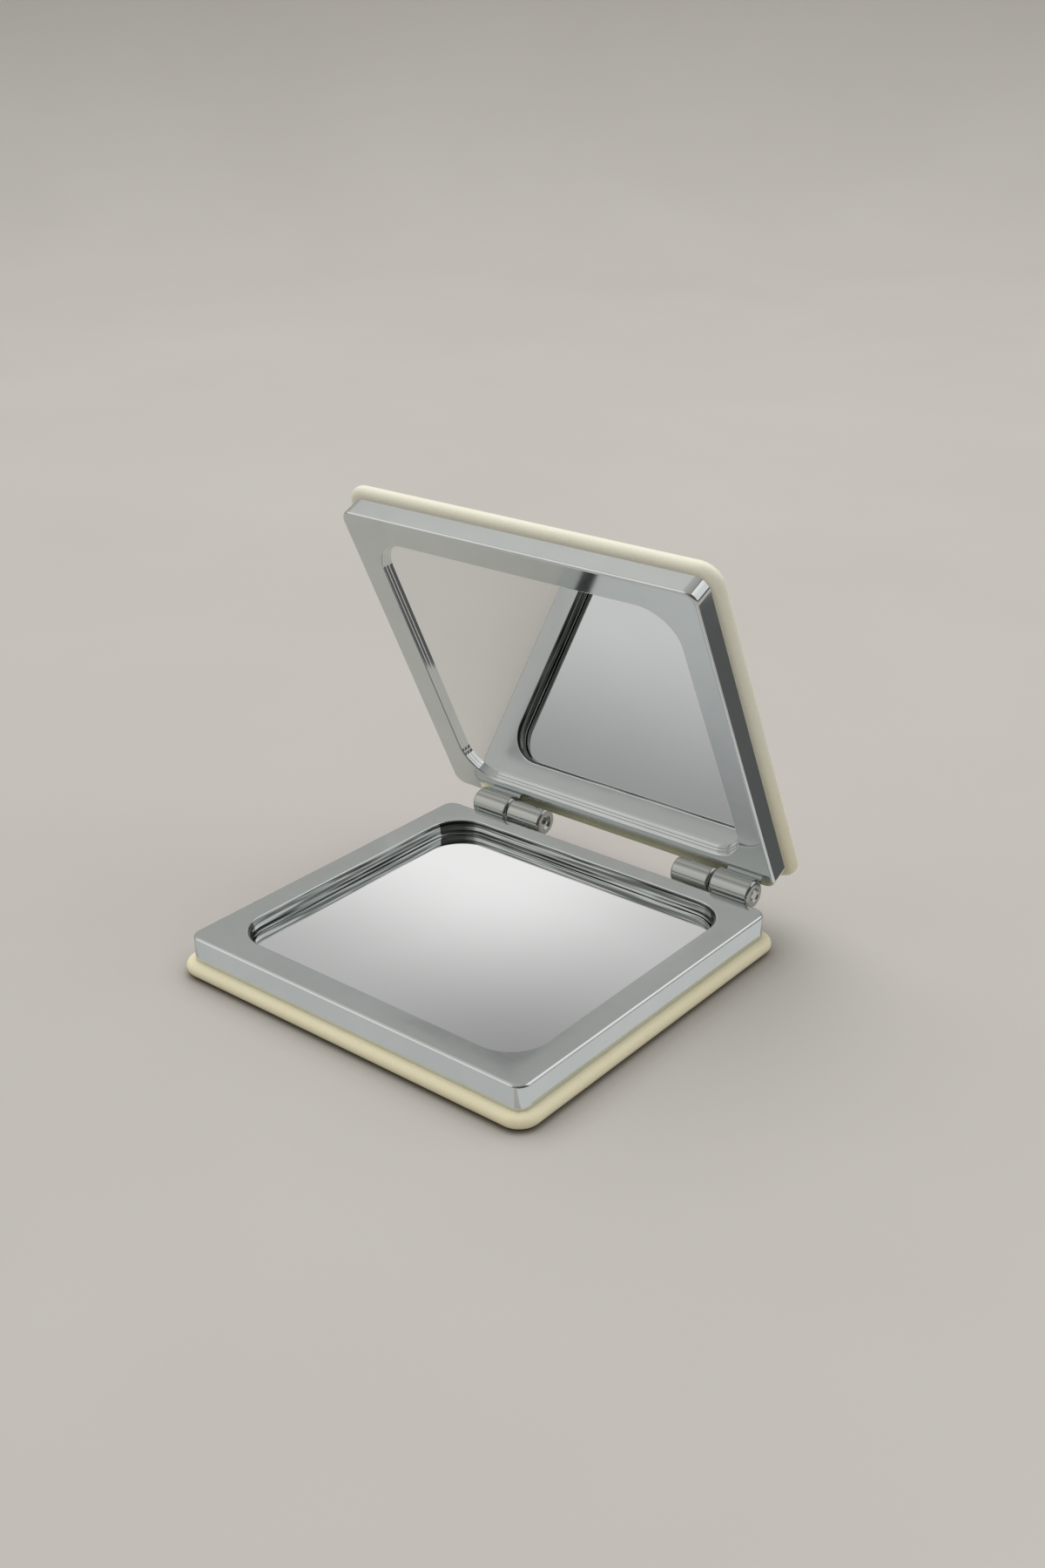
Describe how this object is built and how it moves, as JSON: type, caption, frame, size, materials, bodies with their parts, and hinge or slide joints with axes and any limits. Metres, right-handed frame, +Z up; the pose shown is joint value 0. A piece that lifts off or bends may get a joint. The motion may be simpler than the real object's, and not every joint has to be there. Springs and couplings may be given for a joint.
{
  "type": "compact mirror",
  "caption": "Square pocket compact with a framed mirror in each half, a barrel hinge at the back and padded cream covers with rounded edges.",
  "frame": {"origin": "centre of the lower cover's underside, the face that the mirror rests on", "axes": "+X along the hinge, +Y from the front edge to the hinge, +Z up; the lid stands open 65 degrees over the lower half"},
  "size_m": [0.0648, 0.0658, 0.0642],
  "materials": {
    "chrome": "polished chrome plate",
    "mirror": "silvered float glass",
    "tape": "double-sided tape",
    "magnet": "nickel plate",
    "glue_sheet": "foam tape",
    "board": "grey board",
    "foam": "soft open-cell foam",
    "leatherette": "smooth cream leatherette, satin",
    "pin_steel": "bright drawn",
    "sleeve_steel": "spring steel"
  },
  "bodies": {
    "base": {"base_frame": "chrome", "base_mirror": "mirror", "base_mirror_tape": "tape", "base_magnet": "magnet", "base_cover_glue": "glue_sheet", "base_cover_board": "board", "base_cover_foam": "foam", "base_cover_skin": "leatherette", "hinge_pin_left": "pin_steel", "hinge_pin_right": "pin_steel"},
    "lid": {"lid_frame": "chrome", "lid_mirror": "mirror", "lid_mirror_tape": "tape", "lid_magnet": "magnet", "lid_cover_glue": "glue_sheet", "lid_cover_board": "board", "lid_cover_foam": "foam", "lid_cover_skin": "leatherette", "hinge_sleeve_left": "sleeve_steel", "hinge_sleeve_right": "sleeve_steel"}
  },
  "joints": [
    {"name": "lid_hinge", "type": "hinge", "parent": "base", "child": "lid", "pos_m": [0, 0.03154, 0.00635], "axis": [-1, 0, 0], "range_deg": [-65, 115]}
  ]
}
